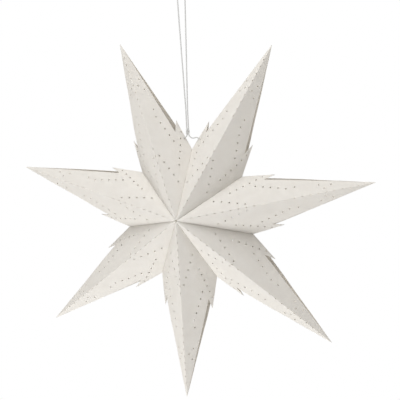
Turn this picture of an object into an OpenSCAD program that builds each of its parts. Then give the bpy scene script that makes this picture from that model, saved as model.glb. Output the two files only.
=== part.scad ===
// Hanging star of seven folded paper points, closed at its top seam by a cord.
// Every point is one die-cut sheet: two panels on the front and two on the back, which meet in
// a ridge fold, in a short side fold that ends in a free barb, and in the blunt end of the point.
// From the barb outwards each side edge is an open slit. Narrow flaps along the valleys turn
// inwards and lie against those of the next point.
// Millimetres. Origin at the top of the cord's loop, +Z up, front of the star towards -Y.

/* [Star] */
// Centre of the star to the sharp end of a point
tip_radius = 300; // [240:5:360]
// Centre of the star to the bottom of the notch between two points
notch_radius = 107; // [95:1:120]
// Front apex to back apex
depth = 156; // [110:2:190]
// Thickness of the paper
paper = 0.4; // [0.3:0.1:0.8]
// Length taken off the sharp end of each point
tip_blunt = 1.5; // [1:0.5:4]
// Width of the small opening where the folds meet at each apex
apex_opening = 5; // [4:0.5:9]
// Angle by which the star hangs turned about its centre, to the right
hang_turn = 4.2; // [0:0.2:8]
// Angle by which the two points beside the seam are drawn together
seam_pull = 1; // [0:0.5:1.5]

/* [Barbs and slits] */
// Length of the side fold from the notch to the end of the barb
barb_length = 52; // [44:1:60]
// Angle between the side fold and the line from the notch to the end of the point
barb_angle = 6.2; // [5:0.1:8]
// Distance from the notch to the inner end of the slit
slit_start = 36; // [30:1:40]
// Distance by which the slit's inner end lies inside that line
slit_inset = 1.4; // [0.8:0.1:3]

/* [Flaps] */
// Width of the glued flaps along the valleys
flap_width = 10; // [6:1:14]
// Distance from the star's axis to the trimmed end of a flap
flap_start = 12; // [8:1:20]
// Width left of a flap between its trimmed end and the apex
flap_root = 1.6; // [1.4:0.1:3]

/* [Perforations] */
// Diameter of the small round holes
perforation = 2.8; // [1.6:0.2:3.6]

/* [Cord] */
// Diameter of the cord
cord_diameter = 2.2; // [1.8:0.1:2.4]
// Clearance of the cord in its two holes, on the diameter
cord_clearance = 0.8; // [0.6:0.1:1.2]
// Distance from the seam's notch to the cord's holes, along the side fold
cord_hole_along = 21; // [19:0.5:23]
// Distance from the side fold to the cord's holes
cord_hole_inset = 3.2; // [3:0.1:4]
// Diameter of the knot that makes the loop
knot_diameter = 6.6; // [6.2:0.2:8]
// Length of the knot that makes the loop
knot_length = 10; // [8:0.5:12]
// Diameter of the stopper knots inside the paper
stopper_diameter = 5.4; // [4.8:0.2:5.8]

/* [Hidden] */
$fn = 24;

points = 7;
sector = 360 / points;
half_sector = sector / 2;
// Place of the star's centre below the top of the loop, the origin
star_centre = [-3.6, 4.6, -370];

paper_colour = [0.91, 0.89, 0.86];
cord_colour = [0.86, 0.86, 0.85];

// Rows of holes on a panel's flat sheet: start, end, count. Each place is measured from the apex
// along the ridge fold and across from it.
side_rows = [[[62, 25], [62, 25], 1], [[89, 35.5], [143.5, 57], 6]];
main_rows = [[[74, 20.5], [109, 7], 4], [[129.5, 39], [174.5, 21.5], 5],
             [[188, 21.5], [188, 21.5], 1], [[224.5, 17], [243, 13.5], 2], [[232, 8.5], [232, 8.5], 1]];
// Rows of holes on the ridge fold: first, last, count
ridge_rows = [[24, 122, 9], [184, 283, 9]];

function unit(v) = v / norm(v);

// One half of a point, in its own axes: the point along +X, the front towards -Y, this half
// towards +Z. lean is the angle by which the end of the point moves towards this half.
apex = [0, -depth / 2, 0];
notch = notch_radius * [cos(half_sector), 0, sin(half_sector)];
function tip(lean) = tip_radius * [cos(lean), 0, sin(lean)];
function edge_along(lean) = unit(tip(lean) - notch);
function edge_out(lean) = [-edge_along(lean).z, 0, edge_along(lean).x];
function barb(lean) = notch
    + barb_length * (cos(barb_angle) * edge_along(lean) + sin(barb_angle) * edge_out(lean));
function side_normal(lean) = unit(cross(barb(lean) - apex, notch - apex));
function slit_flat(lean) = notch + slit_start * edge_along(lean) - slit_inset * edge_out(lean);
function slit_rise(lean) = -(side_normal(lean) * (slit_flat(lean) - apex)) / side_normal(lean).y;
function slit_end(lean) = slit_flat(lean) + [0, slit_rise(lean), 0];
function main_normal(lean) = unit(cross(tip(lean) - apex, slit_end(lean) - apex));

// Axes of the flat sheet on the two parts of a panel, which bends along apex to slit end
function main_x(lean) = unit(tip(lean) - apex);
function bend_angle(lean) = acos(main_x(lean) * unit(slit_end(lean) - apex));
function side_x(lean) = cos(bend_angle(lean)) * unit(slit_end(lean) - apex)
    - sin(bend_angle(lean)) * cross(side_normal(lean), unit(slit_end(lean) - apex));
function on_flat(p, x, n) = [(p - apex) * x, (p - apex) * cross(n, x)];
function plan(p) = [p.x, p.z];

// Children drawn on the flat sheet come to lie on a panel, with Z outwards from its outer face
module on_sheet(x, n) {
    y = cross(n, x);
    multmatrix([[x.x, y.x, n.x, apex.x], [x.y, y.y, n.y, apex.y], [x.z, y.z, n.z, apex.z], [0, 0, 0, 1]])
        children();
}

// Everything behind a panel's outer face, or behind its inner face for inset = paper
module behind(x, n, inset) {
    span = 3 * tip_radius;
    on_sheet(x, n) translate([-span / 2, -span / 2, -span - inset]) cube(span);
}

module quarter(lean, inset) {
    intersection() {
        behind(side_x(lean), side_normal(lean), inset);
        behind(main_x(lean), main_normal(lean), inset);
    }
}

// Body of one point between its four folded panels and the valleys' two planes
module body(lean, inset) {
    far = 2 * tip_radius;
    intersection() {
        quarter(lean, inset);
        mirror([0, 1, 0]) quarter(lean, inset);
        mirror([0, 0, 1]) quarter(-lean, inset);
        mirror([0, 0, 1]) mirror([0, 1, 0]) quarter(-lean, inset);
        rotate([90, 0, 0]) translate([inset / sin(half_sector), 0, 0]) linear_extrude(2 * depth, center = true)
            polygon([[0, 0], far * [cos(half_sector), -sin(half_sector)], far * [cos(half_sector), sin(half_sector)]]);
    }
}

// Die line of the free edges seen from the front: barb, slit and blunt end
function die_line(lean) =
    let (w = plan(slit_flat(lean)), b = plan(barb(lean)), t = plan(tip(lean)),
         reach = notch.z + 15)
    [[apex_opening / 2, reach], [notch.x, reach], b + (b - w), w, t + tip_blunt * unit(w - t)];

module outline(lean) {
    left = die_line(lean);
    right = [for (p = die_line(-lean)) [p.x, -p.y]];
    rotate([90, 0, 0]) linear_extrude(2 * depth, center = true)
        polygon(concat(left, [for (i = [len(right) - 1 : -1 : 0]) right[i]]));
}

// Opening between the flaps, in the plane through the notch and the star's axis
module window() {
    slope = atan2(depth / 2, notch_radius);
    function height(r, width) = -depth / 2 + r * tan(slope) + width / cos(slope);
    front = [[-3, height(-3, flap_root)], [flap_start, height(flap_start, flap_root)],
             [flap_start, height(flap_start, flap_width)], [notch_radius - flap_width / sin(slope), 0]];
    rotate([0, -half_sector, 0]) translate([0, 0, -2 * paper]) linear_extrude(3 * paper)
        polygon(concat(front, [for (i = [2 : -1 : 0]) [front[i].x, -front[i].y]]));
}

module drilled(rows) {
    for (row = rows, i = [0 : row[2] - 1]) {
        share = row[2] > 1 ? i / (row[2] - 1) : 0;
        place = row[0] + share * (row[1] - row[0]);
        translate([place.x, place.y, -2 * paper]) cylinder(d = perforation, h = 3 * paper);
    }
}

module panel_holes(lean) {
    on_sheet(main_x(lean), main_normal(lean)) drilled(main_rows);
    on_sheet(side_x(lean), side_normal(lean)) drilled(side_rows);
}

module ridge_holes(lean) {
    rotate([0, -lean, 0]) translate(apex) rotate([0, 0, atan2(depth / 2, tip_radius)])
        for (row = ridge_rows, i = [0 : row[2] - 1])
            translate([row[0] + i * (row[1] - row[0]) / (row[2] - 1), 0, 0])
                rotate([90, 40, 0]) cylinder(d = perforation, h = 8 * paper, center = true);
}

module face_holes(lean) {
    panel_holes(lean);
    mirror([0, 0, 1]) panel_holes(-lean);
    ridge_holes(lean);
}

// Place of the cord's hole on the side part's flat sheet
function cord_hole_flat(lean) =
    let (v = on_flat(notch, side_x(lean), side_normal(lean)),
         b = on_flat(barb(lean), side_x(lean), side_normal(lean)),
         d = unit(b - v))
    v + cord_hole_along * d + cord_hole_inset * [d.y, -d.x];

// Axes of a hole for the cord: the hole's centre on the outer face, Z outwards
module at_cord_hole(lean) {
    place = cord_hole_flat(lean);
    on_sheet(side_x(lean), side_normal(lean)) translate([place.x, place.y, 0]) children();
}

module cord_hole(lean) {
    at_cord_hole(lean) translate([0, 0, -2 * paper]) cylinder(d = cord_diameter + cord_clearance, h = 3 * paper);
}

// One point of the star. hole_side is 1 or -1 where the half towards +Z or -Z carries the cord.
module star_sheet(lean, hole_side) {
    difference() {
        intersection() {
            body(lean, 0);
            outline(lean);
        }
        body(lean, paper);
        window();
        mirror([0, 0, 1]) window();
        face_holes(lean);
        mirror([0, 1, 0]) face_holes(lean);
        if (hole_side == 1) cord_hole(lean);
        if (hole_side == -1) mirror([0, 0, 1]) cord_hole(-lean);
    }
}

module point_place(i) {
    translate(star_centre) rotate([0, hang_turn, 0])
        rotate([0, -(90 + half_sector - i * sector), 0]) children();
}

// The cord's centre line from the inside of the left hole, up through the knot, round the loop
// and back down to the inside of the right hole
route = [
    [-7.1, 2.2, -245.5], [-6.4, 1.6, -245.1], [-5.1, 0.6, -244.5], [-4, 0.1, -244], [-2.7, 0, -243],
    [-1.8, 0, -241.6], [-1.4, 0, -240], [-1.4, 0, -235], [-1.4, 0, -230], [-1.4, 0, -222],
    [-1.4, 0, -214], [-1.4, 0, -206], [-1.5, 0, -198], [-1.8, 0, -186], [-2.2, 0, -172],
    [-2.8, 0, -150], [-3.4, 0, -130], [-4, 0, -110], [-4.5, 0, -90], [-5.1, 0, -70],
    [-5.6, 0, -50], [-6.1, 0, -30], [-6.4, 0, -18], [-6.5, 0, -11], [-6.5, 0, -7.6],
    [-5.6, 0, -4.3], [-3.3, 0, -2], [0, 0, -1.1], [3.3, 0, -2], [5.6, 0, -4.3],
    [6.5, 0, -7.6], [6.5, 0, -11], [6.4, 0, -18], [6.1, 0, -30], [5.6, 0, -50],
    [5.1, 0, -70], [4.5, 0, -90], [4, 0, -110], [3.4, 0, -130], [2.8, 0, -150],
    [2.2, 0, -172], [1.8, 0, -186], [1.5, 0, -198], [1.4, 0, -206], [1.4, 0, -214],
    [1.4, 0, -222], [1.4, 0, -230], [1.4, 0, -235], [1.4, 0, -239.5], [1.9, 0, -241.5],
    [3.1, 0, -243.3], [4.7, 0, -244.9], [6.8, 0, -245.8], [9, 0, -246], [11.3, 0, -245.6],
    [13.4, 0, -245.3], [15, 0.2, -245.5], [16.3, 0.7, -246.1], [17.4, 1.6, -246.9], [18.1, 2.2, -247.3]];
cord_sides = 8;
knot_height = -235.5;
strand_offset = 1.4;
strand_clearance = 0.3;

function heading(path, i) = unit(path[min(i + 1, len(path) - 1)] - path[max(i - 1, 0)]);
function ring(path, i, r) =
    let (t = heading(path, i), u = unit(cross(t, [0, 1, 0])), v = cross(u, t))
    [for (k = [0 : cord_sides - 1])
        path[i] + r * (cos(360 * k / cord_sides) * u + sin(360 * k / cord_sides) * v)];

module swept_cord(path, r) {
    rings = len(path);
    places = [for (i = [0 : rings - 1]) each ring(path, i, r)];
    sides = [for (i = [0 : rings - 2], k = [0 : cord_sides - 1])
        let (a = i * cord_sides + k, b = i * cord_sides + (k + 1) % cord_sides)
        [a, b, b + cord_sides, a + cord_sides]];
    first = [for (k = [cord_sides - 1 : -1 : 0]) k];
    last = [for (k = [0 : cord_sides - 1]) (rings - 1) * cord_sides + k];
    polyhedron(points = places, faces = concat(sides, [first, last]));
}

module hanging_cord() color(cord_colour) swept_cord(route, cord_diameter / 2);

// Barrel-shaped knot on the two strands that lie side by side
module loop_knot() color(cord_colour) translate([0, 0, knot_height]) {
    soft = knot_diameter / 5;
    half = knot_length / 2;
    difference() {
        rotate_extrude() knot_profile(half, soft);
        for (side = [-1, 1]) translate([side * strand_offset, 0, -knot_length])
            cylinder(d = cord_diameter + strand_clearance, h = 2 * knot_length);
    }
}

module knot_profile(half, soft) {
    r = knot_diameter / 2;
    square_end = r - soft;
    translate([0, -half]) square([square_end, 2 * half]);
    translate([0, -half + soft]) square([r, 2 * half - 2 * soft]);
    for (end = [-1, 1]) intersection() {
        translate([square_end, end * (half - soft)]) circle(soft);
        translate([0, -half]) square([r, 2 * half]);
    }
}

module stopper() {
    seat = 0.35 * stopper_diameter;
    translate([0, 0, -paper - seat]) intersection() {
        sphere(d = stopper_diameter);
        translate([0, 0, seat - 2 * stopper_diameter]) cylinder(d = 2 * stopper_diameter, h = 2 * stopper_diameter);
    }
}

module left_stopper() color(cord_colour)
    point_place(0) mirror([0, 0, 1]) at_cord_hole(seam_pull) stopper();
module right_stopper() color(cord_colour)
    point_place(1) at_cord_hole(seam_pull) stopper();

module star_point_1() color(paper_colour) point_place(0) star_sheet(-seam_pull, -1);
module star_point_2() color(paper_colour) point_place(1) star_sheet(seam_pull, 1);
module star_point_3() color(paper_colour) point_place(2) star_sheet(0, 0);
module star_point_4() color(paper_colour) point_place(3) star_sheet(0, 0);
module star_point_5() color(paper_colour) point_place(4) star_sheet(0, 0);
module star_point_6() color(paper_colour) point_place(5) star_sheet(0, 0);
module star_point_7() color(paper_colour) point_place(6) star_sheet(0, 0);

star_point_1();
star_point_2();
star_point_3();
star_point_4();
star_point_5();
star_point_6();
star_point_7();
hanging_cord();
loop_knot();
left_stopper();
right_stopper();
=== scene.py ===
"""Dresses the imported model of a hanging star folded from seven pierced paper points."""

import logging
import math
from dataclasses import dataclass
from enum import Enum
from functools import lru_cache

import bpy
import numpy as np
from mathutils import Matrix, Vector, geometry, noise

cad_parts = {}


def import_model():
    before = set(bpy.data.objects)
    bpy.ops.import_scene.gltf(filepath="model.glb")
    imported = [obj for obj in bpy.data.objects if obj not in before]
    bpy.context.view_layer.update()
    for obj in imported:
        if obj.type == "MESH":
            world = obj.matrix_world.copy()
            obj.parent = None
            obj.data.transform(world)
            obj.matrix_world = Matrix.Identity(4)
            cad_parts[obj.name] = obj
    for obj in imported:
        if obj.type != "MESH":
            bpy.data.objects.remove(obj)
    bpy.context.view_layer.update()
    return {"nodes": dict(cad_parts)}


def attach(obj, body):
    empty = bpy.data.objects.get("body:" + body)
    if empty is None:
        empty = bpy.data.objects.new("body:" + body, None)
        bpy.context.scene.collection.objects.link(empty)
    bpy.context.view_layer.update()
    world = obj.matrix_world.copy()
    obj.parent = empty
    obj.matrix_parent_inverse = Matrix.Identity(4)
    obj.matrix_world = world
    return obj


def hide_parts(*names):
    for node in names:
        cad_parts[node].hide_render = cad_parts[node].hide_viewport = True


log = logging.getLogger("paper_star")

MM = 0.001
MICRONS = 1e6
# Depth of the grooves between the cord's plies, as a share of its radius
PLY_GROOVE = 0.16
Points2D = list[tuple[float, float]]
Colour = tuple[float, float, float]


class Face(Enum):
    """Side of the star that a panel looks to, as the sign of its Y."""

    FRONT = -1
    BACK = 1


class Half(Enum):
    """Half of a point that a panel belongs to, as the sign of its own Z."""

    LEFT = 1
    RIGHT = -1


class Part(Enum):
    """Flat part of a panel between its folds."""

    MAIN = 0
    SIDE = 1
    FLAP = 2


def unit(v: np.ndarray) -> np.ndarray:
    """Returns the vector at length 1."""
    return v / np.linalg.norm(v)


def smooth(x: float) -> float:
    """Returns a soft step from 0 at x = 0 to 1 at x = 1."""
    t = min(1.0, max(0.0, x))
    return t * t * (3 - 2 * t)


def add_mesh(name: str, places: np.ndarray, faces: list[tuple[int, ...]]) -> bpy.types.Object:
    """Makes a mesh object and links it to the scene.

    Args:
        name: Name of the piece.
        places: Its points, in metres in the row's frame.
        faces: Its faces, as indices of points.

    Returns:
        The new object.
    """
    mesh = bpy.data.meshes.new(name)
    mesh.from_pydata([tuple(p) for p in places], [], faces)
    mesh.validate()
    mesh.update()
    obj = bpy.data.objects.new(name, mesh)
    bpy.context.scene.collection.objects.link(obj)
    return obj


def shade_smooth(piece: bpy.types.Object, sharp: float) -> None:
    """Shades a piece smooth, apart from its sharp edges.

    Args:
        piece: The piece.
        sharp: Angle from which an edge stays sharp, in degrees.
    """
    for polygon in piece.data.polygons:
        polygon.use_smooth = True
    piece.data.set_sharp_from_angle(angle=math.radians(sharp))


@dataclass(frozen=True)
class StarSizes:
    """Sizes of the folded star in metres, from the solids, with the looser slits of real paper."""

    tip_radius: float = 300 * MM
    notch_radius: float = 107 * MM
    depth: float = 156 * MM
    paper: float = 0.4 * MM
    tip_blunt: float = 1.5 * MM
    apex_opening: float = 3.6 * MM
    hang_turn: float = 4.2
    seam_pull: float = 1.0
    barb_length: float = 52 * MM
    barb_angle: float = 6.2
    slit_start: float = 36 * MM
    back_inset: float = 1.2 * MM
    front_inset: float = 2.5 * MM
    seam_slack: float = 1.3 * MM
    back_share: float = 0.6
    flap_width: float = 10 * MM
    flap_start: float = 12 * MM
    flap_root: float = 1.6 * MM
    perforation: float = 2.8 * MM
    cord_diameter: float = 2.2 * MM
    cord_clearance: float = 0.8 * MM
    cord_hole_along: float = 21 * MM
    cord_hole_inset: float = 3.2 * MM
    points: int = 7
    centre: tuple[float, float, float] = (-3.6 * MM, 4.6 * MM, -370 * MM)

    @property
    def half_sector(self) -> float:
        """Half of the angle between two points, in degrees."""
        return 180 / self.points

    def slit_inset(self, face: Face, by_seam: bool) -> float:
        """Returns how far a panel's slit edge lies inside the barb's line at the slit's inner end.

        Args:
            face: Side of the star that the panel looks to.
            by_seam: Whether the panel lies beside the seam, where the cord pulls the slit open.

        Returns:
            The inset in metres, greater in front, so that a little of the inside shows.
        """
        if face is Face.FRONT:
            return self.front_inset + (self.seam_slack if by_seam else 0.0)
        return self.back_inset + (self.back_share * self.seam_slack if by_seam else 0.0)


@dataclass(frozen=True)
class HoleRow:
    """Row of round holes on the flat sheet, in millimetres along and across the ridge fold."""

    start: tuple[float, float]
    end: tuple[float, float]
    count: int

    def places(self) -> Points2D:
        """Spaces the holes evenly.

        Returns:
            The centres of the row's holes, in metres.
        """
        shares = [i / max(1, self.count - 1) for i in range(self.count)]
        (u0, w0), (u1, w1) = self.start, self.end
        return [((u0 + s * (u1 - u0)) * MM, (w0 + s * (w1 - w0)) * MM) for s in shares]


SIDE_ROWS = (HoleRow((62, 25), (62, 25), 1), HoleRow((89, 35.5), (143.5, 57), 6))
MAIN_ROWS = (
    HoleRow((74, 20.5), (109, 7), 4),
    HoleRow((129.5, 39), (174.5, 21.5), 5),
    HoleRow((188, 21.5), (188, 21.5), 1),
    HoleRow((224.5, 17), (243, 13.5), 2),
    HoleRow((232, 8.5), (232, 8.5), 1),
)
RIDGE_ROWS = (HoleRow((24, 0), (122, 0), 9), HoleRow((184, 0), (283, 0), 9))


class PanelShape:
    """One panel of a point: its flat die line and where each place of it lies once folded.

    The panel's own axes are those of the point, with the front towards -Y and this half towards
    +Z. On the flat sheet u runs from the apex along the ridge fold, and w across from it.
    """

    BEND_SPREAD = math.radians(5.5)
    FOLD_RADIUS = 0.9 * MM
    VALLEY_RADIUS = 0.7 * MM
    FLAP_GAP = 0.04 * MM
    FLAP_SLACK = 0.3 * MM
    RIDGE_CUT = 0.96
    ON_FLAP = 1e-7
    BARB_FROM = -2
    WAVE_HEIGHT = 0.8 * MM
    WAVE_SCALE = 17
    STILL_BY_RIDGE = 22 * MM
    STILL_BY_SIDE = 26 * MM
    STILL_BY_VALLEY = 18 * MM

    def __init__(self, sizes: StarSizes, lean: float, inset: float) -> None:
        """Works out the folded corners and the flat sheet.

        Args:
            sizes: Sizes of the star.
            lean: Angle by which the end of the point moves towards this half, in degrees.
            inset: How far the slit edge lies inside the barb's line at its inner end.
        """
        self.sizes = sizes
        half = math.radians(sizes.half_sector)
        turn = math.radians(lean)
        self.apex = np.array([0.0, -sizes.depth / 2, 0.0])
        self.notch = sizes.notch_radius * np.array([math.cos(half), 0.0, math.sin(half)])
        self.tip = sizes.tip_radius * np.array([math.cos(turn), 0.0, math.sin(turn)])
        along = unit(self.tip - self.notch)
        out = np.array([-along[2], 0.0, along[0]])
        angle = math.radians(sizes.barb_angle)
        self.barb = self.notch + sizes.barb_length * (math.cos(angle) * along + math.sin(angle) * out)
        self.side_normal = unit(np.cross(self.barb - self.apex, self.notch - self.apex))
        slit = self.notch + sizes.slit_start * along - inset * out
        rise = -(self.side_normal @ (slit - self.apex)) / self.side_normal[1]
        self.slit = slit + np.array([0.0, rise, 0.0])
        self.main_normal = unit(np.cross(self.tip - self.apex, self.slit - self.apex))
        self.main_x = unit(self.tip - self.apex)
        self.main_y = np.cross(self.main_normal, self.main_x)
        to_slit = unit(self.slit - self.apex)
        self.bend_angle = math.acos(self.main_x @ to_slit)
        self.side_x = math.cos(self.bend_angle) * to_slit
        self.side_x -= math.sin(self.bend_angle) * np.cross(self.side_normal, to_slit)
        self.side_y = np.cross(self.side_normal, self.side_x)
        self.flat_tip = self.on_main(self.tip)
        self.flat_slit = self.on_main(self.slit)
        self.flat_barb = self.on_side(self.barb)
        self.flat_notch = self.on_side(self.notch)
        self._work_out_folds(half)

    def _work_out_folds(self, half: float) -> None:
        """Works out the directions in which each fold is rounded off.

        Args:
            half: Half of the angle between two points, in radians.
        """
        self.valley = unit(self.flat_notch)
        self.valley_out = np.array([-self.valley[1], self.valley[0]])
        self.valley_line = unit(self.notch - self.apex)
        self.flap_normal = np.array([-math.sin(half), 0.0, math.cos(half)])
        self.flap_in = np.cross(self.valley_line, self.flap_normal)
        if self.flap_in[1] < 0:
            self.flap_in = -self.flap_in
        side = unit(self.flat_barb - self.flat_notch)
        self.side_in = np.array([side[1], -side[0]])
        self.side_along = side
        self.ridge_out = unit(self.main_normal * np.array([1.0, 1.0, 0.0]))
        self.fold_out = unit(self.side_normal * np.array([1.0, 0.0, 1.0]))
        self.valley_bisector = unit(self.side_normal + self.flap_normal)
        self.bend_out = unit(self.main_normal + self.side_normal)

    def on_main(self, place: np.ndarray) -> np.ndarray:
        """Returns a folded place of the main part on the flat sheet."""
        d = place - self.apex
        return np.array([d @ self.main_x, d @ self.main_y])

    def on_side(self, place: np.ndarray) -> np.ndarray:
        """Returns a folded place of the side part on the flat sheet."""
        d = place - self.apex
        return np.array([d @ self.side_x, d @ self.side_y])

    def beyond_valley(self, flat: np.ndarray) -> float:
        """Returns how far a flat place lies beyond the valley fold, on the flap."""
        return float(flat @ self.valley_out)

    def from_side_fold(self, flat: np.ndarray) -> float:
        """Measures a place's distance from the side fold, where the fold runs.

        Args:
            flat: The place, along and across the ridge.

        Returns:
            The distance in metres.
        """
        d = flat - self.flat_notch
        along = float(d @ self.side_along)
        beside = max(0.0, -along, along - np.linalg.norm(self.flat_barb - self.flat_notch))
        return math.hypot(float(d @ self.side_in), beside)

    def part(self, flat: np.ndarray) -> Part:
        """Tells which flat part of the panel a place belongs to.

        Args:
            flat: The place, along and across the ridge.

        Returns:
            The main part, the side part with the barb, or the flap.
        """
        if self.beyond_valley(flat) > self.ON_FLAP:
            return Part.FLAP
        if math.atan2(flat[1], flat[0]) >= self.bend_angle:
            return Part.SIDE
        from_slit = flat - self.flat_slit
        rise = math.degrees(math.atan2(from_slit[1], from_slit[0]))
        on_barb = from_slit[0] > 0 and rise > self.BARB_FROM
        return Part.SIDE if on_barb else Part.MAIN

    def fold(self, flat: np.ndarray, wave_seed: float) -> np.ndarray:
        """Folds one place of the flat sheet.

        Args:
            flat: The place, along and across the ridge.
            wave_seed: Picks the slight waves of this piece of paper.

        Returns:
            Its folded place in the point's own axes, on the paper's outer face.
        """
        part = self.part(flat)
        if part is Part.FLAP:
            return self._fold_flap(flat)
        reach = float(np.linalg.norm(flat))
        angle = math.atan2(flat[1], flat[0])
        if part is Part.MAIN:
            place = self.apex + flat[0] * self.main_x + flat[1] * self.main_y
            off = self.bend_angle - angle
        else:
            place = self.apex + flat[0] * self.side_x + flat[1] * self.side_y
            off = angle - self.bend_angle
        turn = 0.5 * math.acos(float(self.main_normal @ self.side_normal))
        soft = max(0.0, self.BEND_SPREAD - off)
        place = place - self.bend_out * math.tan(turn) * reach * soft**2 / (2 * self.BEND_SPREAD)
        place = place - self.ridge_out * self._rounding(flat[1], self.main_normal @ self.ridge_out)
        fold_gap = self.from_side_fold(flat)
        place = place - self.fold_out * self._rounding(fold_gap, self.side_normal @ self.fold_out)
        valley_gap = -self.beyond_valley(flat)
        place = place - self._valley_rounding(valley_gap) * self.valley_bisector
        return place + self._wave(flat, fold_gap, valley_gap, wave_seed) * self.bend_out

    def _fold_flap(self, flat: np.ndarray) -> np.ndarray:
        """Folds a place of the flap into the plane between two points.

        Args:
            flat: The place, along and across the ridge.

        Returns:
            Its folded place in the point's own axes.
        """
        along, across = float(flat @ self.valley), self.beyond_valley(flat)
        place = self.apex + along * self.valley_line + across * self.flap_in
        place = place - self.FLAP_GAP * smooth(across / MM) * self.flap_normal
        return place - self._valley_rounding(across) * self.valley_bisector

    def _rounding(self, gap: float, cosine: float) -> float:
        """Returns how far a place at that distance from a fold moves in, to round the fold."""
        rest = max(0.0, self.FOLD_RADIUS - abs(gap))
        return math.sqrt(max(0.0, 1 - cosine**2)) * rest**2 / (2 * self.FOLD_RADIUS)

    def _valley_rounding(self, gap: float) -> float:
        """Rounds the valley fold.

        Args:
            gap: Distance of a place from the valley fold.

        Returns:
            How far that place moves in.
        """
        cosine = float(self.side_normal @ self.valley_bisector)
        rest = max(0.0, self.VALLEY_RADIUS - abs(gap))
        return math.sqrt(1 - cosine**2) * rest**2 / (2 * self.VALLEY_RADIUS)

    def _wave(self, flat: np.ndarray, fold_gap: float, valley_gap: float, seed: float) -> float:
        """Gives the paper its slight wave, which dies out towards its folds.

        Args:
            flat: The place, along and across the ridge.
            fold_gap: Its distance from the side fold.
            valley_gap: Its distance from the valley fold.
            seed: Picks the waves of this piece of paper.

        Returns:
            How far the place stands proud, in metres.
        """
        held = smooth(flat[1] / self.STILL_BY_RIDGE) * smooth(fold_gap / self.STILL_BY_SIDE)
        held *= smooth(valley_gap / self.STILL_BY_VALLEY)
        spot = Vector((flat[0] * self.WAVE_SCALE, flat[1] * self.WAVE_SCALE, seed))
        return self.WAVE_HEIGHT * held * noise.noise(spot)

    def outline(self) -> list[np.ndarray]:
        """Draws the die line of the panel with its flap.

        Returns:
            Its corners on the flat sheet, in order from the apex along the ridge.
        """
        s = self.sizes
        slope = math.atan2(s.depth / 2, s.notch_radius)
        ridge_slope = self.main_x[0]
        length = float(np.linalg.norm(self.flat_notch))
        end = s.flap_width / math.tan(slope) + self.FLAP_SLACK
        start = s.flap_start / math.cos(slope)
        root = s.apex_opening / 2 / math.cos(math.radians(s.half_sector)) / math.cos(slope)

        def on_flap(along: float, across: float) -> np.ndarray:
            """Returns a place of the flap on the flat sheet."""
            return along * self.valley + across * self.valley_out

        blunt = s.tip_blunt * unit(self.flat_slit - self.flat_tip)
        cut = 1 - self.RIDGE_CUT * s.tip_blunt / s.tip_radius
        return [
            np.array([s.apex_opening / 2 / ridge_slope, 0.0]),
            np.array([self.flat_tip[0] * cut, 0.0]),
            self.flat_tip + blunt,
            self.flat_slit,
            self.flat_barb,
            self.flat_notch,
            on_flap(length - end, s.flap_width),
            on_flap(start, s.flap_width),
            on_flap(start, s.flap_root),
            on_flap(root, s.flap_root),
            on_flap(root, 0.0),
        ]

    def cord_hole(self) -> np.ndarray:
        """Returns the centre of the hole for the cord, on the flat sheet."""
        s = self.sizes
        return self.flat_notch + s.cord_hole_along * self.side_along + s.cord_hole_inset * self.side_in


@dataclass
class FlatMesh:
    """Triangles of a panel's flat sheet.

    The array ridge tells which places lie on the ridge fold, and side_rank gives the order from the
    notch of those on the side fold.
    """

    places: np.ndarray
    triangles: np.ndarray
    ridge: np.ndarray
    side_rank: dict[int, int]


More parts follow.
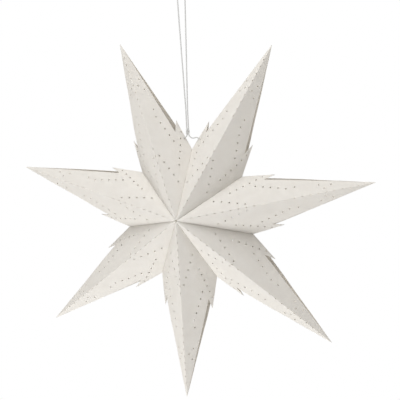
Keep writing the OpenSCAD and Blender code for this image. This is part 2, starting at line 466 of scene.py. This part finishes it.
class FlatSheet:
    """Cuts a panel's flat sheet into triangles round its holes and along its folds."""

    SPACING = 6 * MM
    HOLE_SIDES = 16
    KEEP_OFF = 1.3 * MM
    HOLE_MARGIN = 0.9 * MM
    FIRST_ROW = 8 * MM
    ROW_SHARE = 0.9
    FULL_BEND = 30 * MM
    BEND_LINES = (-1, -0.6, -0.2, 0.2, 0.6, 1)
    FOLD_LINES = (0.35, 0.7, 1.05)
    VALLEY_LINES = (-1, -0.5, 0.5, 1)
    ON_RIDGE = 1e-8
    ON_SIDE = 2e-8
    JOIN_MM = 1e-5
    LEAST_AREA = 1e-13

    def __init__(self, shape: PanelShape, with_cord_hole: bool) -> None:
        """Gathers the die line, the folds and the holes.

        Args:
            shape: The panel's shape.
            with_cord_hole: Whether the cord passes through this panel.
        """
        self.shape = shape
        self.places: list[tuple[float, float]] = []
        self.edges: list[tuple[int, int]] = []
        self.corners = shape.outline()
        radius = shape.sizes.perforation / 2
        rows = SIDE_ROWS + MAIN_ROWS + RIDGE_ROWS
        self.holes = [(np.array(c), radius) for row in rows for c in row.places()]
        if with_cord_hole:
            wide = (shape.sizes.cord_diameter + shape.sizes.cord_clearance) / 2
            self.holes.append((shape.cord_hole(), wide))

    def _chain(self, line: list[np.ndarray], closed: bool = False) -> None:
        """Adds a line of edges to the sheet, with no step longer than the spacing.

        Args:
            line: Corners of the line.
            closed: Whether it runs back to its first corner.
        """
        first = len(self.places)
        ends = line[1:] + line[:1] if closed else line[1:]
        for a, b in zip(line, ends):
            steps = max(1, math.ceil(float(np.linalg.norm(b - a)) / self.SPACING))
            for i in range(steps):
                self.places.append(tuple(a + (b - a) * i / steps))
        if not closed:
            self.places.append(tuple(line[-1]))
        last = len(self.places) - 1
        self.edges += [(i, i + 1) for i in range(first, last)]
        if closed:
            self.edges.append((last, first))

    def _circle(self, centre: np.ndarray, radius: float) -> None:
        """Adds a round hole, or the half of it that lies on this side of the ridge.

        Args:
            centre: Centre of the hole on the flat sheet.
            radius: Its radius.
        """
        sides = self.HOLE_SIDES
        angles = [2 * math.pi * i / sides for i in range(sides)]
        on_ridge = abs(centre[1]) < 1e-9
        if on_ridge:
            angles = [math.pi * i / (sides // 2) for i in range(sides // 2 + 1)]
        ring = [centre + radius * np.array([math.cos(a), math.sin(a)]) for a in angles]
        if on_ridge:
            ring[0][1] = ring[-1][1] = 0.0
        first = len(self.places)
        self.places += [tuple(p) for p in ring]
        count = len(ring)
        self.edges += [(first + i, first + i + 1) for i in range(count - 1)]
        if not on_ridge:
            self.edges.append((first + count - 1, first))

    def _fold_lines(self) -> None:
        """Adds the folds and the lines beside them that carry their rounding."""
        shape = self.shape
        fold, valley = shape.FOLD_RADIUS, shape.VALLEY_RADIUS
        end = self.corners[1][0]
        start = self.corners[0][0]
        for gap in (share * fold for share in self.FOLD_LINES):
            self._chain([np.array([start, gap]), np.array([end - 4 * gap, gap])])
            along, inward = shape.side_along, shape.side_in
            a = shape.flat_notch + gap * inward + 0.6 * MM * along
            b = shape.flat_barb + gap * inward - 1.6 * gap * along
            self._chain([a, b])
        length = float(np.linalg.norm(shape.flat_notch))
        root = float(np.linalg.norm(self.corners[-1]))
        for gap in (share * valley for share in self.VALLEY_LINES):
            away = gap * shape.valley_out
            last = length - (2.2 * gap if gap > 0 else 0)
            self._chain([away + root * shape.valley, away + last * shape.valley])
        self._chain([root * shape.valley, length * shape.valley])

    def _free(self, p: np.ndarray) -> bool:
        """Tells whether an inner point lies clear of the folds and the holes.

        Args:
            p: The point on the flat sheet.

        Returns:
            Whether it is clear of them.
        """
        shape = self.shape
        if p[1] < shape.FOLD_RADIUS + self.KEEP_OFF:
            return False
        if abs(shape.beyond_valley(p)) < shape.VALLEY_RADIUS + self.KEEP_OFF:
            return False
        if shape.from_side_fold(p) < shape.FOLD_RADIUS + self.KEEP_OFF:
            return False
        return all(np.linalg.norm(p - c) > r + self.HOLE_MARGIN for c, r in self.holes)

    def _inner_points(self) -> None:
        """Adds points inside the sheet, closer together across the soft bend."""
        shape = self.shape
        valley = math.atan2(shape.valley[1], shape.valley[0])
        bend = [shape.bend_angle + shape.BEND_SPREAD * k for k in self.BEND_LINES]
        reach = self.FIRST_ROW
        row = 0
        while reach < shape.flat_tip[0]:
            count = max(2, round(reach * valley / self.SPACING))
            even = [valley * (i + 0.5 * (row % 2)) / count for i in range(count + 1)]
            near = 0.5 * self.SPACING / reach
            close = bend if reach > self.FULL_BEND else [bend[0], bend[-1]]
            angles = close + [a for a in even if all(abs(a - b) > near for b in close)]
            for a in sorted(angles):
                p = reach * np.array([math.cos(a), math.sin(a)])
                if self._inside(p) and self._free(p):
                    self.places.append(tuple(p))
            reach += self.SPACING * self.ROW_SHARE
            row += 1

    def _inside(self, p: np.ndarray) -> bool:
        """Tells whether a place lies inside the die line.

        Args:
            p: The place on the flat sheet.

        Returns:
            Whether a line across from it crosses the die line an odd number of times.
        """
        inside = False
        for a, b in zip(self.corners, self.corners[1:] + self.corners[:1]):
            if (a[1] > p[1]) != (b[1] > p[1]):
                cut = a[0] + (p[1] - a[1]) / (b[1] - a[1]) * (b[0] - a[0])
                inside = inside != (p[0] < cut)
        return inside

    def _is_paper(self, p: np.ndarray) -> bool:
        """Tells whether a triangle is paper and not a hole.

        Args:
            p: The triangle's centre on the flat sheet.

        Returns:
            Whether it is paper.
        """
        if not self._inside(p):
            return False
        reach = math.cos(math.pi / self.HOLE_SIDES)
        return all(np.linalg.norm(p - c) > r * reach for c, r in self.holes)

    def cut(self) -> FlatMesh:
        """Cuts the sheet into triangles.

        Returns:
            The flat triangles, turned the same way, and the points on the ridge and side folds, the
            last by their order from the notch.
        """
        self._chain(self.corners, closed=True)
        for centre, radius in self.holes:
            self._circle(centre, radius)
        self._fold_lines()
        self._inner_points()
        grown = [Vector((u / MM, w / MM)) for u, w in self.places]
        found = geometry.delaunay_2d_cdt(grown, self.edges, [], 0, self.JOIN_MM, False)
        places = np.array([tuple(v) for v in found[0]]) * MM
        triangles = [t for t in found[2] if self._is_paper(places[list(t)].mean(axis=0))]
        turned = []
        for a, b, c in triangles:
            p, q = places[b] - places[a], places[c] - places[a]
            area = p[0] * q[1] - p[1] * q[0]
            if abs(area) > self.LEAST_AREA:
                turned.append((a, b, c) if area > 0 else (a, c, b))
        used = sorted({i for t in turned for i in t})
        index = {old: new for new, old in enumerate(used)}
        places = places[used]
        ridge = np.abs(places[:, 1]) < self.ON_RIDGE
        along = places @ self.shape.side_along
        on_side = [i for i, p in enumerate(places) if self.shape.from_side_fold(p) < self.ON_SIDE]
        side_rank = {i: rank for rank, i in enumerate(sorted(on_side, key=lambda i: along[i]))}
        renamed = np.array([[index[i] for i in t] for t in turned])
        return FlatMesh(places, renamed, ridge, side_rank)


@lru_cache(maxsize=None)
def cut_panel(
    sizes: StarSizes, lean: float, inset: float, pierced: bool
) -> tuple[PanelShape, FlatMesh]:
    """Cuts one kind of panel, once for all the points that use it.

    Args:
        sizes: Sizes of the star.
        lean: Angle by which the end of the point moves towards this panel, in degrees.
        inset: How far its slit edge lies inside the barb's line.
        pierced: Whether the cord passes through it.

    Returns:
        The panel's shape and its flat triangles.
    """
    shape = PanelShape(sizes, lean, inset)
    return shape, FlatSheet(shape, pierced).cut()


def add_noise(nodes: bpy.types.Nodes, scale: float, detail: float) -> bpy.types.Node:
    """Adds a noise texture to a material.

    Args:
        nodes: Nodes of the material.
        scale: Scale of the noise, for one metre.
        detail: How many finer layers it has.

    Returns:
        The new node.
    """
    node = nodes.new("ShaderNodeTexNoise")
    node.inputs["Scale"].default_value = scale
    node.inputs["Detail"].default_value = detail
    return node


def add_ramp(nodes: bpy.types.Nodes, stops: tuple[tuple[float, Colour], ...]) -> bpy.types.Node:
    """Adds a ramp between two colours to a material.

    Args:
        nodes: Nodes of the material.
        stops: The two places on the ramp with their colours.

    Returns:
        The new node.
    """
    node = nodes.new("ShaderNodeValToRGB")
    for element, (place, colour) in zip(node.color_ramp.elements, stops):
        element.position = place
        element.color = (*colour, 1)
    return node


def add_bump(nodes: bpy.types.Nodes, strength: float, height: float) -> bpy.types.Node:
    """Adds a bump to a material.

    Args:
        nodes: Nodes of the material.
        strength: Share of the bump that shows.
        height: Its height in metres.

    Returns:
        The new node.
    """
    node = nodes.new("ShaderNodeBump")
    node.inputs["Strength"].default_value = strength
    node.inputs["Distance"].default_value = height
    return node


@dataclass(frozen=True)
class PaperFinish:
    """Matt uncoated paper with a faint cloud and fine fibres."""

    name: str
    colour: Colour
    cloud_colour: Colour
    cloud_scale: float = 55.0
    fibre_scale: float = 1500.0
    fibre_height: float = 0.00004
    roughness: float = 0.88
    through: float = 0.22

    def material(self) -> bpy.types.Material:
        """Builds the paper's material.

        Returns:
            A material whose colour and grain come from the paper's own place.
        """
        mat = bpy.data.materials.new(self.name)
        mat.use_nodes = True
        nodes, links = mat.node_tree.nodes, mat.node_tree.links
        shader = nodes["Principled BSDF"]
        shader.inputs["Roughness"].default_value = self.roughness
        shader.inputs["Specular IOR Level"].default_value = 0.25
        thin = nodes.new("ShaderNodeBsdfTranslucent")
        mix = nodes.new("ShaderNodeMixShader")
        mix.inputs["Fac"].default_value = self.through
        coords = nodes.new("ShaderNodeTexCoord")
        cloud = add_noise(nodes, self.cloud_scale, 5.0)
        cloud.inputs["Roughness"].default_value = 0.62
        ramp = add_ramp(nodes, ((0.32, self.cloud_colour), (0.68, self.colour)))
        fibre = add_noise(nodes, self.fibre_scale, 3.0)
        bump = add_bump(nodes, 0.35, self.fibre_height)
        links.new(coords.outputs["Object"], cloud.inputs["Vector"])
        links.new(coords.outputs["Object"], fibre.inputs["Vector"])
        links.new(cloud.outputs["Fac"], ramp.inputs["Fac"])
        links.new(ramp.outputs["Color"], shader.inputs["Base Color"])
        links.new(ramp.outputs["Color"], thin.inputs["Color"])
        links.new(fibre.outputs["Fac"], bump.inputs["Height"])
        links.new(bump.outputs["Normal"], shader.inputs["Normal"])
        links.new(shader.outputs["BSDF"], mix.inputs[1])
        links.new(thin.outputs["BSDF"], mix.inputs[2])
        links.new(mix.outputs["Shader"], nodes["Material Output"].inputs["Surface"])
        return mat


@dataclass(frozen=True)
class CordFinish:
    """Twisted cotton with a soft bloom of fibres."""

    name: str
    colour: Colour
    shade: Colour
    fibre_scale: float = 2600.0
    fibre_height: float = 0.0001

    def material(self) -> bpy.types.Material:
        """Builds the cord's material.

        Returns:
            A material with a fibrous tone and grain.
        """
        mat = bpy.data.materials.new(self.name)
        mat.use_nodes = True
        nodes, links = mat.node_tree.nodes, mat.node_tree.links
        shader = nodes["Principled BSDF"]
        shader.inputs["Roughness"].default_value = 0.85
        shader.inputs["Sheen Weight"].default_value = 0.25
        shader.inputs["Sheen Roughness"].default_value = 0.5
        coords = nodes.new("ShaderNodeTexCoord")
        fibre = add_noise(nodes, self.fibre_scale, 4.0)
        ramp = add_ramp(nodes, ((0.3, self.shade), (0.6, self.colour)))
        bump = add_bump(nodes, 0.5, self.fibre_height)
        links.new(coords.outputs["Object"], fibre.inputs["Vector"])
        links.new(fibre.outputs["Fac"], ramp.inputs["Fac"])
        links.new(ramp.outputs["Color"], shader.inputs["Base Color"])
        links.new(fibre.outputs["Fac"], bump.inputs["Height"])
        links.new(bump.outputs["Normal"], shader.inputs["Normal"])
        return mat


class StarPoint:
    """One folded point of the star, made from one pierced sheet."""

    WAVE_STEPS = (3.7, 1.3, 0.6)
    SHARP_ANGLE = 50

    def __init__(self, sizes: StarSizes, number: int, lean: float, hole: Half | None) -> None:
        """Takes the point's place in the star.

        Args:
            sizes: Sizes of the star.
            number: Number of the point, from 1, clockwise from the seam.
            lean: Angle by which its end moves towards its left half, in degrees.
            hole: Half that the cord passes through, if any.
        """
        self.sizes = sizes
        self.number = number
        self.lean = lean
        self.hole = hole
        self.node = f"star_point_{number}"

    def placed(self, own: np.ndarray) -> np.ndarray:
        """Turns places in the point's own axes into the row's frame.

        Args:
            own: The places in the point's own axes.

        Returns:
            The places in the row's frame.
        """
        s = self.sizes
        angle = s.hang_turn - (90 + s.half_sector - (self.number - 1) * 360 / s.points)
        c, d = math.cos(math.radians(angle)), math.sin(math.radians(angle))
        turn = np.array([[c, 0, d], [0, 1, 0], [-d, 0, c]])
        return own @ turn.T + np.array(s.centre)

    def _outer_face(self) -> tuple[np.ndarray, np.ndarray]:
        """Folds the four panels and joins them along their folds.

        Returns:
            The points of the paper's outer face and its triangles.
        """
        places: list[np.ndarray] = []
        triangles: list[tuple[int, int, int]] = []
        joined: dict[tuple, int] = {}
        by_number, by_half, by_face = self.WAVE_STEPS
        for half in Half:
            for face in Face:
                pierced = half is self.hole and face is Face.FRONT
                inset = self.sizes.slit_inset(face, half is self.hole)
                shape, flat = cut_panel(self.sizes, self.lean * half.value, inset, pierced)
                seed = self.number * by_number + half.value * by_half + face.value * by_face
                index = []
                for i, (p, on_ridge) in enumerate(zip(flat.places, flat.ridge)):
                    own = shape.fold(p, seed)
                    own = own * np.array([1.0, -face.value, half.value])
                    key = None
                    if on_ridge:
                        key = ("ridge", face, round(p[0] * MICRONS))
                    elif i in flat.side_rank:
                        key = ("side", half, flat.side_rank[i])
                    if key in joined:
                        index.append(joined[key])
                        continue
                    if key:
                        joined[key] = len(places)
                    index.append(len(places))
                    places.append(own)
                flipped = (face is Face.BACK) != (half is Half.RIGHT)
                for a, b, c in flat.triangles:
                    order = (a, c, b) if flipped else (a, b, c)
                    triangles.append(tuple(index[i] for i in order))
        return np.array(places), np.array(triangles)

    def _thicken(self, outer: np.ndarray, triangles: np.ndarray) -> tuple[np.ndarray, list]:
        """Gives the sheet its thickness, with a rim round each free edge and hole.

        Args:
            outer: Points of the outer face.
            triangles: Its triangles.

        Returns:
            The points of both faces, and all the faces.
        """
        corner = outer[triangles]
        area = np.cross(corner[:, 1] - corner[:, 0], corner[:, 2] - corner[:, 0])
        normals = np.zeros_like(outer)
        for k in range(3):
            np.add.at(normals, triangles[:, k], area)
        normals /= np.maximum(np.linalg.norm(normals, axis=1, keepdims=True), 1e-15)
        inner = outer - normals * self.sizes.paper
        count = len(outer)
        faces = [tuple(int(i) for i in t) for t in triangles]
        back = [(int(c) + count, int(b) + count, int(a) + count) for a, b, c in triangles]
        sides = {(a, b) for t in faces for a, b in zip(t, t[1:] + t[:1])}
        rim = [(b, a, a + count, b + count) for a, b in sorted(sides) if (b, a) not in sides]
        return np.vstack([outer, inner]), faces + back + rim

    def build(self, material: bpy.types.Material) -> bpy.types.Object:
        """Builds the folded sheet in its place.

        Args:
            material: The paper's material.

        Returns:
            The piece, which stands for its solid.
        """
        outer, triangles = self._outer_face()
        places, faces = self._thicken(outer, triangles)
        piece = add_mesh(f"paper_point_{self.number}", self.placed(places), faces)
        piece.data.materials.append(material)
        shade_smooth(piece, self.SHARP_ANGLE)
        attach(piece, "root")
        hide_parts(self.node)
        return piece


# Route of the cord in millimetres, the same as the solid's: its end in the left hole, one strand
# of the loop and its mirror image, and its end in the right hole
LEFT_END = (
    (-7.1, 2.2, -245.5), (-6.4, 1.6, -245.1), (-5.1, 0.6, -244.5), (-4, 0.1, -244), (-2.7, 0, -243),
    (-1.8, 0, -241.6), (-1.4, 0, -240),
)
STRAND = (
    (1.4, 0, -235), (1.4, 0, -230), (1.4, 0, -222), (1.4, 0, -214), (1.4, 0, -206), (1.5, 0, -198),
    (1.8, 0, -186), (2.2, 0, -172), (2.8, 0, -150), (3.4, 0, -130), (4, 0, -110), (4.5, 0, -90),
    (5.1, 0, -70), (5.6, 0, -50), (6.1, 0, -30), (6.4, 0, -18), (6.5, 0, -11), (6.5, 0, -7.6),
    (5.6, 0, -4.3), (3.3, 0, -2),
)
LOOP_TOP = (0, 0, -1.1)
RIGHT_END = (
    (1.4, 0, -239.5), (1.9, 0, -241.5), (3.1, 0, -243.3), (4.7, 0, -244.9), (6.8, 0, -245.8),
    (9, 0, -246), (11.3, 0, -245.6), (13.4, 0, -245.3), (15, 0.2, -245.5), (16.3, 0.7, -246.1),
    (17.4, 1.6, -246.9), (18.1, 2.2, -247.3),
)
ROUTE = (*LEFT_END, *((-x, y, z) for x, y, z in STRAND), LOOP_TOP, *STRAND[::-1], *RIGHT_END)
KNOT_HEIGHT = -235.5 * MM


def rounded_path(points: np.ndarray, step: float) -> np.ndarray:
    """Runs a smooth curve through points.

    Args:
        points: The points, in order.
        step: About how far apart the curve's own points lie.

    Returns:
        Points along the curve.
    """
    padded = np.vstack([2 * points[0] - points[1], points, 2 * points[-1] - points[-2]])
    found = []
    for i in range(1, len(padded) - 2):
        a, b, c, d = padded[i - 1 : i + 3]
        before, span, beyond = (float(np.linalg.norm(way)) for way in (b - a, c - b, d - c))
        m0 = (c - a) * span / (span + before)
        m1 = (d - b) * span / (beyond + span)
        steps = max(1, round(span / step))
        for k in range(steps):
            # Weights of both ends and of the curve's slopes there
            t = k / steps
            h00, h10 = 2 * t**3 - 3 * t**2 + 1, t**3 - 2 * t**2 + t
            h01, h11 = 3 * t**2 - 2 * t**3, t**3 - t**2
            found.append(h00 * b + h10 * m0 + h01 * c + h11 * m1)
    found.append(points[-1])
    return np.array(found)


def sweep(path: np.ndarray, profile: np.ndarray, lay: float) -> tuple[np.ndarray, list]:
    """Sweeps a profile along a path while it turns like the strands of a cord.

    Args:
        path: Points of the centre line.
        profile: Points of the profile, across and up.
        lay: Length in which the profile turns once.

    Returns:
        The tube's points and faces, closed at both ends.
    """
    count, sides = len(path), len(profile)
    ahead = np.vstack([path[1:], path[-1:]]) - np.vstack([path[:1], path[:-1]])
    ahead /= np.linalg.norm(ahead, axis=1, keepdims=True)
    across = unit(np.cross(ahead[0], [0.0, 1.0, 0.05]))
    places = []
    travelled = 0.0
    for i in range(count):
        across = unit(across - ahead[i] * (across @ ahead[i]))
        up = np.cross(ahead[i], across)
        if i:
            travelled += float(np.linalg.norm(path[i] - path[i - 1]))
        turn = 2 * math.pi * travelled / lay
        c, s = math.cos(turn), math.sin(turn)
        for x, y in profile:
            places.append(path[i] + (c * x - s * y) * across + (s * x + c * y) * up)
    rings = [range(i * sides, (i + 1) * sides) for i in range(count)]
    faces = []
    for ring, following in zip(rings, rings[1:]):
        for k in range(sides):
            after = (k + 1) % sides
            faces.append((ring[k], ring[after], following[after], following[k]))
    faces.append(tuple(rings[0])[::-1])
    faces.append(tuple(rings[-1]))
    return np.array(places), faces


def strand_profile(radius: float, plies: int, sides: int) -> np.ndarray:
    """Draws the outline of a cord laid from some plies, which touch its outer diameter.

    Args:
        radius: Radius of the cord.
        plies: Number of its plies.
        sides: Number of points on the outline.

    Returns:
        The points of the outline, across and up.
    """
    found = []
    for k in range(sides):
        a = 2 * math.pi * k / sides
        dip = 1 - abs(math.cos(plies * a / 2))
        r = radius * (1 - PLY_GROOVE * dip)
        found.append((r * math.cos(a), r * math.sin(a)))
    return np.array(found)


@dataclass
class HangingCord:
    """The cord with the knot that makes its loop and the two knots inside the paper."""

    sizes: StarSizes
    lay: float = 7 * MM
    ring_step: float = 0.75 * MM
    knot_radius: float = 2.15 * MM
    knot_reach: float = 3.7 * MM
    knot_turns: float = 2.9
    knot_flatness: float = 0.95
    stopper_radius: float = 1.5 * MM
    stopper_reach: float = 1.15 * MM
    stopper_turns: float = 1.8
    stopper_depth: float = 2.3 * MM
    wrap_tilt: float = 0.4 * MM
    steps_per_turn: int = 22
    plies: int = 3
    cord_sides: int = 15
    knot_sides: int = 14
    sharp_angle: float = 60.0

    def _tube(self, name: str, path: np.ndarray, profile: np.ndarray) -> bpy.types.Object:
        """Makes one smooth tube.

        Args:
            name: Name of the piece.
            path: Points of its centre line.
            profile: Points of its outline.

        Returns:
            The new piece.
        """
        places, faces = sweep(path, profile, self.lay)
        piece = add_mesh(name, places, faces)
        shade_smooth(piece, self.sharp_angle)
        return piece

    def _wound(self, radius: float, reach: float, turns: float) -> np.ndarray:
        """Winds a path round the Z axis, tucked in at its ends.

        Args:
            radius: Radius of the winding.
            reach: How far it reaches up and down.
            turns: Number of its turns.

        Returns:
            Points along the path.
        """
        found = []
        steps = round(turns * self.steps_per_turn)
        for i in range(steps + 1):
            t = i / steps
            tuck = smooth(min(t, 1 - t) * 7)
            r = radius * (0.45 + 0.55 * tuck)
            a = 2 * math.pi * turns * t
            z = reach * (2 * t - 1)
            found.append((r * math.cos(a), r * math.sin(a), z + self.wrap_tilt * math.sin(a)))
        return np.array(found)

    def build(self, material: bpy.types.Material, papers: dict[int, StarPoint]) -> list[bpy.types.Object]:
        """Builds the cord and its knots.

        Args:
            material: The cord's material.
            papers: The points of the star by number, of which 1 and 2 carry the cord.

        Returns:
            The cord and its knots.
        """
        radius = self.sizes.cord_diameter / 2
        path = rounded_path(np.array(ROUTE) * MM, self.ring_step)
        cord = self._tube("cord", path, strand_profile(radius, self.plies, self.cord_sides))
        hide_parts("hanging_cord")
        knots = [self._loop_knot(radius)]
        knots += [self._stopper(papers[1], Half.RIGHT, "left_stopper")]
        knots += [self._stopper(papers[2], Half.LEFT, "right_stopper")]
        for piece in [cord, *knots]:
            piece.data.materials.append(material)
            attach(piece, "root")
        return [cord, *knots]

    def _loop_knot(self, radius: float) -> bpy.types.Object:
        """Builds the knot that closes the loop, as the cord wound round both strands.

        Args:
            radius: Radius of the cord.

        Returns:
            The knot.
        """
        path = self._wound(self.knot_radius, self.knot_reach, self.knot_turns)
        path = path + np.array([0, 0, KNOT_HEIGHT])
        profile = strand_profile(radius, self.plies, self.knot_sides)
        piece = self._tube("loop_knot_wraps", path, profile * np.array([1.0, self.knot_flatness]))
        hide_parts("loop_knot")
        return piece

    def _stopper(self, paper: StarPoint, half: Half, node: str) -> bpy.types.Object:
        """Builds one knot that lies against the inside of the paper at its hole.

        Args:
            paper: The point of the star that holds it.
            half: Half of that point that the cord passes through.
            node: Node that the knot stands for.

        Returns:
            The knot.
        """
        inset = self.sizes.slit_inset(Face.FRONT, True)
        shape = PanelShape(self.sizes, paper.lean * half.value, inset)
        flat = shape.cord_hole()
        hole = shape.apex + flat[0] * shape.side_x + flat[1] * shape.side_y
        path = self._wound(self.stopper_radius, self.stopper_reach, self.stopper_turns)
        depth = self.sizes.paper + self.stopper_depth
        own = hole + path[:, :1] * shape.side_x + path[:, 1:2] * shape.side_y
        own = own + (path[:, 2:] - depth) * shape.side_normal
        own = own * np.array([1.0, 1.0, half.value])
        profile = strand_profile(self.sizes.cord_diameter / 2, self.plies, self.knot_sides)
        piece = self._tube(f"{node}_wraps", paper.placed(own), profile)
        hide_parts(node)
        return piece


@dataclass(frozen=True)
class SoftLamp:
    """A square lamp that faces the star, in metres and watts."""

    name: str
    place: tuple[float, float, float]
    size: float
    power: float


@dataclass
class Studio:
    """Camera, lights, floor and white surroundings."""

    aim: tuple[float, float, float] = (13.3 * MM, 4.6 * MM, -345.3 * MM)
    distance: float = 1.563
    azimuth: float = 16.72
    elevation: float = 4.77
    roll: float = -2.82
    lens: float = 88.14
    sensor: float = 36.0
    floor_height: float = -2.1
    floor_radius: float = 2.0
    floor_sides: int = 96
    ambient: float = 0.36
    lamps: tuple[SoftLamp, ...] = (
        SoftLamp("low_lamp", (-0.4, -1.0, -1.7), 0.95, 16.8),
        SoftLamp("high_lamp", (0.0, -1.0, 1.3), 1.4, 24.5),
        SoftLamp("back_lamp", (0.4, 2.2, 0.1), 1.4, 19.0),
    )

    def camera(self) -> bpy.types.Object:
        """Sets the camera where the photograph was taken from.

        Returns:
            The scene's camera.
        """
        a, e, r = (math.radians(x) for x in (self.azimuth, self.elevation, self.roll))
        back = Vector((math.sin(a) * math.cos(e), -math.cos(a) * math.cos(e), math.sin(e)))
        right = Vector((math.cos(a), math.sin(a), 0))
        up = Vector((-math.sin(a) * math.sin(e), math.cos(a) * math.sin(e), math.cos(e)))
        right, up = (
            math.cos(r) * right + math.sin(r) * up,
            -math.sin(r) * right + math.cos(r) * up,
        )
        data = bpy.data.cameras.new("camera")
        data.lens = self.lens
        data.sensor_width = self.sensor
        cam = bpy.data.objects.new("camera", data)
        bpy.context.scene.collection.objects.link(cam)
        cam.rotation_mode = "QUATERNION"
        cam.location = Vector(self.aim) + back * self.distance
        axes = Matrix([(right[i], up[i], back[i]) for i in range(3)])
        cam.rotation_quaternion = axes.to_quaternion()
        bpy.context.scene.camera = cam
        bpy.context.scene.view_settings.view_transform = "Standard"
        return cam

    def _place_lamp(self, lamp: SoftLamp) -> None:
        """Adds one soft lamp that faces the star.

        Args:
            lamp: The lamp's sizes and place.
        """
        data = bpy.data.lights.new(lamp.name, "AREA")
        data.shape = "SQUARE"
        data.size = lamp.size
        data.energy = lamp.power
        placed = bpy.data.objects.new(lamp.name, data)
        bpy.context.scene.collection.objects.link(placed)
        placed.location = lamp.place
        placed.rotation_mode = "QUATERNION"
        way = Vector(self.aim) - Vector(lamp.place)
        placed.rotation_quaternion = way.to_track_quat("-Z", "Y")

    def light(self) -> None:
        """Adds the lamps and the surroundings, which look white but light the star softly."""
        for lamp in self.lamps:
            self._place_lamp(lamp)
        world = bpy.data.worlds.new("studio")
        bpy.context.scene.world = world
        world.use_nodes = True
        nodes, links = world.node_tree.nodes, world.node_tree.links
        nodes.clear()
        # Camera, glossy and transmission rays see plain white, and all others the soft light
        path = nodes.new("ShaderNodeLightPath")
        seen = nodes.new("ShaderNodeMath")
        seen.operation = "MAXIMUM"
        seen_all = nodes.new("ShaderNodeMath")
        seen_all.operation = "MAXIMUM"
        soft = nodes.new("ShaderNodeBackground")
        soft.inputs["Color"].default_value = (1.0, 0.985, 0.965, 1)
        soft.inputs["Strength"].default_value = self.ambient
        white = nodes.new("ShaderNodeBackground")
        white.inputs["Strength"].default_value = 1.0
        white.inputs["Color"].default_value = (1, 1, 1, 1)
        mix = nodes.new("ShaderNodeMixShader")
        out = nodes.new("ShaderNodeOutputWorld")
        links.new(path.outputs["Is Camera Ray"], seen.inputs[0])
        links.new(path.outputs["Is Glossy Ray"], seen.inputs[1])
        links.new(seen.outputs[0], seen_all.inputs[0])
        links.new(path.outputs["Is Transmission Ray"], seen_all.inputs[1])
        links.new(seen_all.outputs[0], mix.inputs["Fac"])
        links.new(soft.outputs[0], mix.inputs[1])
        links.new(white.outputs[0], mix.inputs[2])
        links.new(mix.outputs[0], out.inputs["Surface"])

    def floor(self) -> bpy.types.Object:
        """Lays a plain pale floor under the star, below the camera's view.

        Returns:
            The floor, which is no part of the star.
        """
        sides = self.floor_sides
        ring = [2 * math.pi * i / sides for i in range(sides)]
        x, y, _ = self.aim
        reach = self.floor_radius
        places = [(x + reach * math.cos(a), y + reach * math.sin(a), self.floor_height) for a in ring]
        floor = add_mesh("studio_floor", np.array(places), [tuple(range(sides))])
        mat = bpy.data.materials.new("pale_floor")
        mat.use_nodes = True
        shader = mat.node_tree.nodes["Principled BSDF"]
        shader.inputs["Base Color"].default_value = (0.85, 0.85, 0.85, 1)
        shader.inputs["Roughness"].default_value = 0.9
        floor.data.materials.append(mat)
        return floor


def main() -> None:
    """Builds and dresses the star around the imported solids."""
    logging.basicConfig(level=logging.INFO, format="%(name)s: %(message)s")
    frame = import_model()
    log.info("%d solids in the frame", len(frame["nodes"]))
    sizes = StarSizes()
    studio = Studio()
    studio.camera()
    pull = sizes.seam_pull
    leans = {1: -pull, 2: pull}
    holes = {1: Half.RIGHT, 2: Half.LEFT}
    points = {
        n: StarPoint(sizes, n, leans.get(n, 0.0), holes.get(n)) for n in range(1, sizes.points + 1)
    }
    cotton = CordFinish("twisted_cord", (0.76, 0.76, 0.75), (0.65, 0.65, 0.64)).material()
    for piece in HangingCord(sizes).build(cotton, points):
        log.info("%s: %d faces", piece.name, len(piece.data.polygons))
    paper = PaperFinish("matt_paper", (0.96, 0.937, 0.895), (0.93, 0.902, 0.855)).material()
    for point in points.values():
        piece = point.build(paper)
        log.info("%s: %d faces", piece.name, len(piece.data.polygons))
    studio.light()
    studio.floor()


if __name__ == "__main__":
    main()
